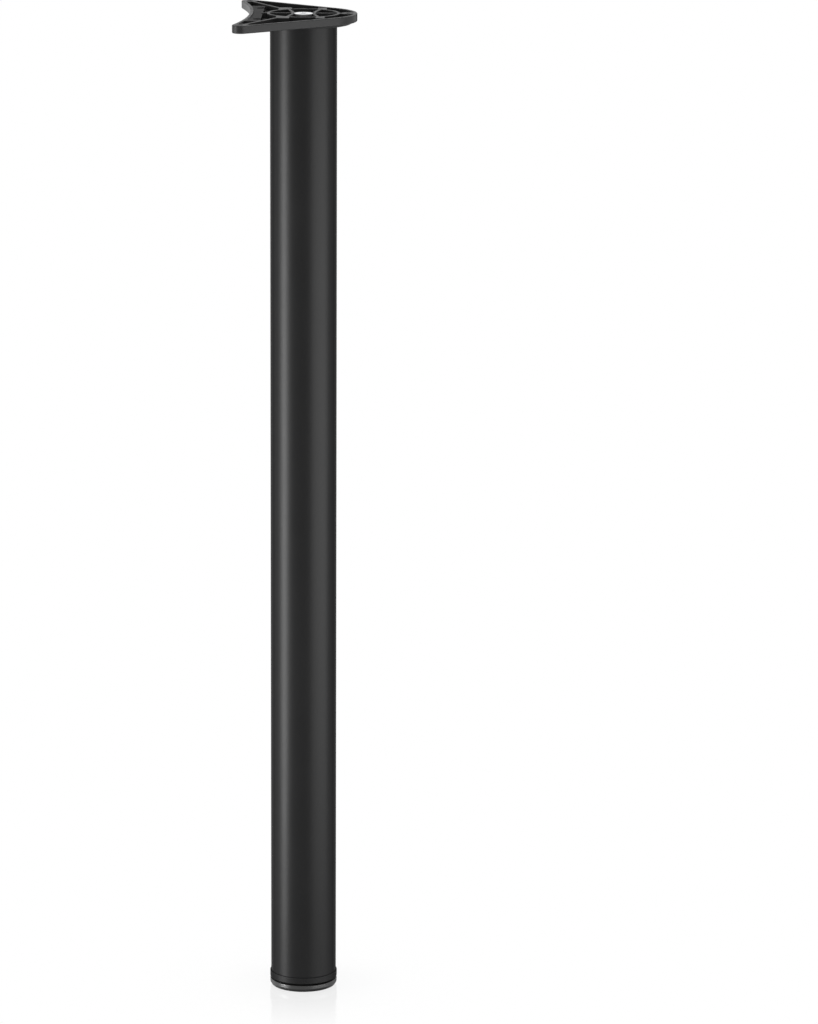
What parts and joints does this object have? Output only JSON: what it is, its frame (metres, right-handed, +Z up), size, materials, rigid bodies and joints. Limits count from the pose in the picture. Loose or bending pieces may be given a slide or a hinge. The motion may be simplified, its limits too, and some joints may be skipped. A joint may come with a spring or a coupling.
{
  "type": "height adjustable table leg",
  "caption": "Round steel table leg with a ribbed triangular mounting plate on top and a screw-adjusted foot below.",
  "frame": {"origin": "centre of the foot's ground contact, on the floor under the tube's axis", "axes": "+Z up along the tube's axis, +X towards the mounting plate's rounded tip, the plate's arms at -X, +Y and -Y"},
  "size_m": [0.1075, 0.197, 0.905],
  "materials": {
    "cast_lacquer": "satin black powder coat",
    "tube_lacquer": "satin black lacquer",
    "zinc_plating": "bright zinc plated",
    "raw_steel": "oiled raw steel",
    "black_plastic": "satin moulded black",
    "grey_plastic": "satin moulded grey",
    "glide_plastic": "matt moulded dark grey"
  },
  "bodies": {
    "leg": {"mounting_plate": "cast_lacquer", "plate_bolt": "zinc_plating", "lock_washer": "zinc_plating", "leg_tube": "tube_lacquer", "top_cup": "raw_steel", "weld_nut": "raw_steel", "end_plug": "black_plastic", "plug_nut": "zinc_plating"},
    "glide": {"foot_pad": "glide_plastic"},
    "foot": {"foot_disc": "grey_plastic", "foot_bolt": "zinc_plating", "stop_ring": "raw_steel"}
  },
  "joints": [
    {"name": "foot_travel", "type": "slide", "parent": "leg", "child": "glide", "axis": [0, 0, -1], "range_m": [0, 0.025]},
    {"name": "foot_turn", "type": "hinge", "parent": "glide", "child": "foot", "pos_m": [0, 0, 0], "axis": [0, 0, -1], "range_deg": [0, 6000]}
  ],
  "couplings": [
    {"joint": "foot_travel", "follows": "foot_turn", "m_per_rad": 0.00023873}
  ]
}
